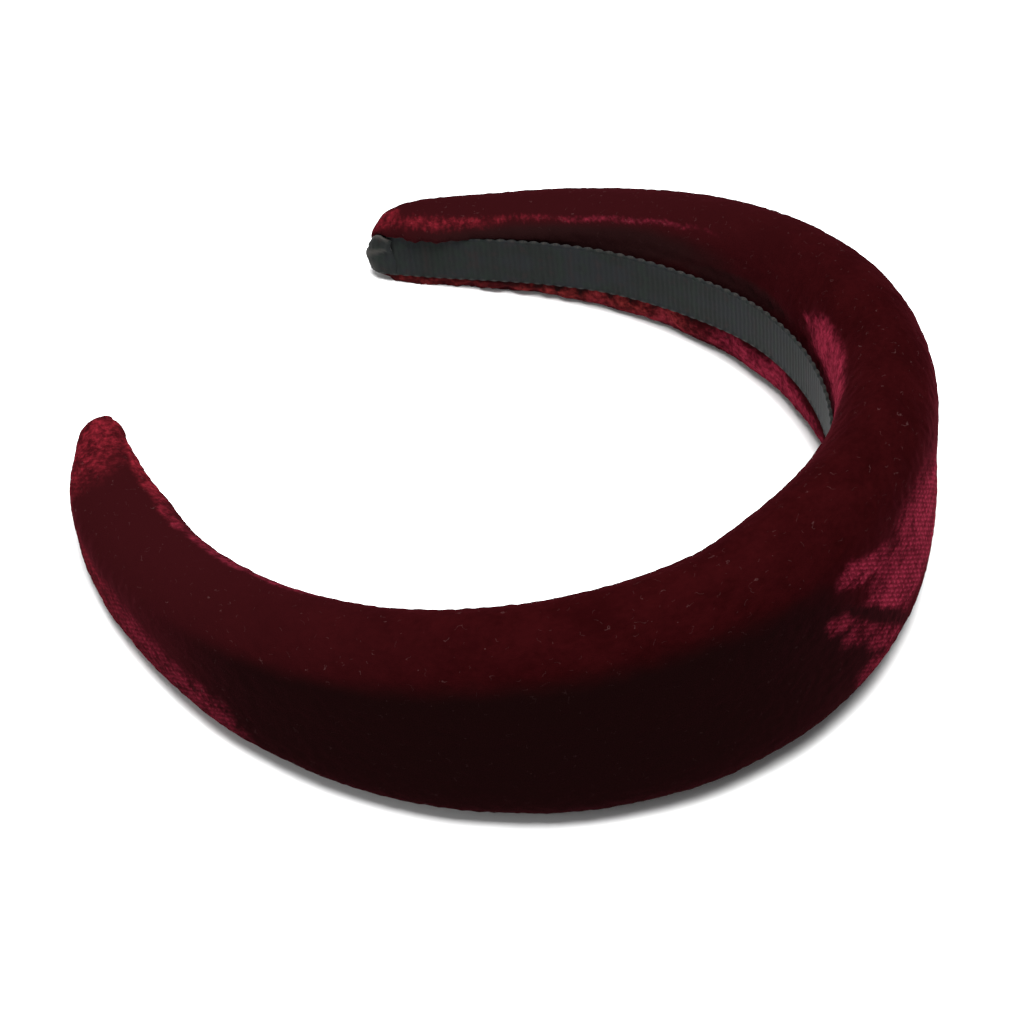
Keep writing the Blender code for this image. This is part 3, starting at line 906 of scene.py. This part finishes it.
def make_ribbon_lining(band, ribbon, material):
    """The ribbon along the inner face, which sags a little on the right arm."""
    strip = ribbon_strip(LINING_LENGTH, ribbon)

    def laid(along, out, up):
        sag = MM * bell((along / MM - 106) / 26)
        return band.put(along, out, up - sag)

    flat = dress_strip(strip, laid, ribbon.width / 2, ribbon)
    mesh = close_strip(strip, "ribbon", ribbon.thickness, band)
    run = np.abs(flat[:, 0]) / MM
    up = flat[:, 1] / MM
    # Painted shadow in the notch beside each tab's open edge
    notch_shadow = bell((run - (TAB_START - 0.5)) / 0.9) * bell((up - 1.8) / 2.2)
    add_attribute(mesh, FOLD_LIGHT_AND_SHADE, "FLOAT", np.resize(-0.9 * notch_shadow, len(mesh.vertices)))
    return add_piece("grosgrain_lining", mesh, material, ["ribbon_lining"])


def fold_ridge(run, up):
    """The ridge across a tab, from the open edge down to the nose, from 0 to 1. It is raised and given a
    painted highlight.
    """
    middle = 2.2 * MM - 0.55 * run
    return bell((up - middle) / (0.8 * MM + 0.22 * np.clip(run, 0, None))) * ramp(run / MM, 0.0, 0.6)


def make_ribbon_tab(band, ribbon, material, side):
    """The ribbon's folded end, wrapped round one tip."""
    name = "left" if side < 0 else "right"
    front_radius = 3.4 * MM
    hook_radius = 2.0 * MM
    overlap = 0.8 * MM
    straight = 1.4 * MM
    wrap = radians(160)
    nose = TAB_START * MM + straight
    length = overlap + straight + front_radius * wrap
    strip = ribbon_strip(length, ribbon)
    half = ribbon.width / 2
    stand = 0.45 if side > 0 else 0.0

    def wrapped(along, out, up):
        run = along + length / 2 - overlap
        turn = np.clip((run - straight) / front_radius, 0, None)
        share = np.clip(np.abs(up / half + 0.14) / 1.14, 0, 1)
        corner = np.where(up > 0, 0.66 * share ** 1.6, share ** 5)
        lobe = np.cos(pi * (up / half + 0.45) / 1.1)
        puff = (0.45 * np.abs(lobe) ** 0.5 - 0.25) * MM * np.clip(1 - share ** 4, 0, 1)
        crease = fold_ridge(run, up)
        rise = puff + 0.30 * MM * crease * (up > -0.5 * half) - out
        open_edge = 0.05 + stand * ramp(up / half, -0.1, 0.3)
        lift = open_edge * MM * np.clip(1 - run / (1.6 * MM), 0, 1) + 0.05 * MM
        place_out = hook_radius - (hook_radius + rise) * np.cos(turn) - lift
        reach = (front_radius + rise) * np.sin(turn) * (1.25 - 0.77 * corner)
        uneven = 0.4 * MM * np.sin(up / (1.7 * MM)) * np.clip(1 - run / (2.0 * MM), 0, 1)
        place_along = nose + np.minimum(run - straight, 0) + reach + uneven
        narrow = 0.10 * np.sin(turn) * (up > 0) + 0.40 * (up > 0) * (1 - np.cos(turn))
        narrow = narrow + 0.24 * (up > 0) * np.clip(1 - run / (4.2 * MM), 0, 1)
        return band.put(side * place_along, place_out, up * (1 - narrow))

    flat = dress_strip(strip, wrapped, half, ribbon)
    mesh = close_strip(strip, "tab_" + name, ribbon.thickness, band)
    run = flat[:, 0] + length / 2 - overlap
    up = flat[:, 1]
    # Painted highlights on the ridge and along the upper edge, a paler tone on the lower lobe, and
    # painted shade on the tab's face
    fold = 0.7 * fold_ridge(run, up)
    fold = np.maximum(fold, 0.8 * ramp(up / half, 0.78, 0.95) * ramp(run / MM, -0.6, 0.2))
    fold = np.maximum(fold, 0.3 * ramp(run / MM, 2.5, 4.0) * ramp(-up / half, 0.3, 0.6))
    body = 0.22 * ramp(run / MM, 0.0, 1.0) * bell((up / half - 0.5) / 0.5)
    add_attribute(mesh, FOLD_LIGHT_AND_SHADE, "FLOAT", np.resize(fold - body * (1 - fold), len(mesh.vertices)))
    return add_piece("grosgrain_tab_" + name, mesh, material, ["ribbon_tab_" + name])


def add_light(lamp, power):
    """One soft square light."""
    light = bpy.data.lights.new(lamp.name, "AREA")
    light.shape = "RECTANGLE"
    light.size = lamp.size
    light.size_y = lamp.size
    light.energy = power
    thing = bpy.data.objects.new(lamp.name, light)
    thing.location = lamp.place
    thing.rotation_euler = (Vector(lamp.aim) - Vector(lamp.place)).to_track_quat("-Z", "Y").to_euler()
    bpy.context.scene.collection.objects.link(thing)


def add_camera(stage):
    """The camera, at the photo's viewing angle."""
    turn, rise, roll = stage.azimuth, stage.elevation, stage.roll
    back = Vector((sin(turn) * cos(rise), -cos(turn) * cos(rise), sin(rise)))
    right = Vector((cos(turn), sin(turn), 0.0))
    up = back.cross(right)
    right, up = cos(roll) * right + sin(roll) * up, cos(roll) * up - sin(roll) * right
    aim = Vector((0, 0, stage.aim[2])) + right * stage.aim[0] + up * stage.aim[1]
    lens = bpy.data.cameras.new("camera")
    lens.lens = stage.lens
    lens.sensor_width = SENSOR_WIDTH
    lens.clip_start = 0.01
    camera = bpy.data.objects.new("camera", lens)
    turned = Matrix((right, up, back)).transposed().to_4x4()
    camera.matrix_world = Matrix.Translation(aim + back * stage.distance) @ turned
    bpy.context.scene.collection.objects.link(camera)
    bpy.context.scene.camera = camera


class HEADBAND_OT_stage(bpy.types.Operator):
    """Make the floor, the soft studio light and the camera"""

    bl_idname = "headband.stage"
    bl_label = "Floor, light and camera"

    def execute(self, context):
        stage = context.scene.headband_stage
        body = bmesh.new()
        bmesh.ops.create_grid(body, x_segments=1, y_segments=1, size=FLOOR_HALF)
        mesh = bpy.data.meshes.new("floor")
        body.to_mesh(mesh)
        body.free()
        mesh.materials.append(floor_material(stage))
        floor = bpy.data.objects.new("floor", mesh)
        context.scene.collection.objects.link(floor)
        floor.location.z = -FLOOR_GAP

        world = bpy.data.worlds.new("room")
        world.use_nodes = True
        background = world.node_tree.nodes["Background"]
        background.inputs["Color"].default_value = (1.0, 1.0, 1.0, 1.0)
        background.inputs["Strength"].default_value = stage.sky
        context.scene.world = world
        for lamp in LAMPS:
            add_light(lamp, getattr(stage, lamp.power))
        add_camera(stage)
        context.scene.view_settings.view_transform = "Standard"
        return {"FINISHED"}


class HEADBAND_OT_velvet_pad(bpy.types.Operator):
    """Make the padded velvet cover"""

    bl_idname = "headband.velvet_pad"
    bl_label = "Velvet cover"

    def execute(self, context):
        make_velvet_pad(Band(), context.scene.headband_velvet)
        return {"FINISHED"}


class HEADBAND_OT_ribbon(bpy.types.Operator):
    """Make the grosgrain lining and the tab at each tip"""

    bl_idname = "headband.ribbon"
    bl_label = "Ribbon lining and tabs"

    def execute(self, context):
        ribbon = context.scene.headband_ribbon
        band = Band()
        material = ribbon_material(ribbon)
        lining = make_ribbon_lining(band, ribbon, material)
        tabs = [make_ribbon_tab(band, ribbon, material, side) for side in (-1, 1)]
        return {"FINISHED"}


class HEADBAND_PT_panel(bpy.types.Panel):
    """The headband's pieces, in the 3D view's sidebar"""

    bl_idname = "HEADBAND_PT_panel"
    bl_label = "Padded headband"
    bl_space_type = "VIEW_3D"
    bl_region_type = "UI"
    bl_category = "Headband"

    def draw(self, context):
        layout = self.layout
        for operator in OPERATORS:
            layout.operator(operator.bl_idname)
        for name in GROUPS:
            group = getattr(context.scene, name)
            column = layout.column(align=True)
            for prop in group.bl_rna.properties:
                if prop.identifier not in {"rna_type", "name"}:
                    column.prop(group, prop.identifier)


OPERATORS = (HEADBAND_OT_stage, HEADBAND_OT_velvet_pad, HEADBAND_OT_ribbon)
GROUPS = {
    "headband_velvet": HEADBAND_PG_velvet,
    "headband_ribbon": HEADBAND_PG_ribbon,
    "headband_stage": HEADBAND_PG_stage,
}


def register():
    for group in GROUPS.values():
        bpy.utils.register_class(group)
    for operator in OPERATORS:
        bpy.utils.register_class(operator)
    bpy.utils.register_class(HEADBAND_PT_panel)
    for name, group in GROUPS.items():
        setattr(bpy.types.Scene, name, PointerProperty(type=group))


def unregister():
    for name in GROUPS:
        delattr(bpy.types.Scene, name)
    bpy.utils.unregister_class(HEADBAND_PT_panel)
    for operator in reversed(OPERATORS):
        bpy.utils.unregister_class(operator)
    for group in reversed(GROUPS.values()):
        bpy.utils.unregister_class(group)


def main():
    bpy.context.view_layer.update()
    register()
    bpy.ops.headband.stage()
    bpy.ops.headband.velvet_pad()
    bpy.ops.headband.ribbon()


if __name__ == "__main__":
    main()
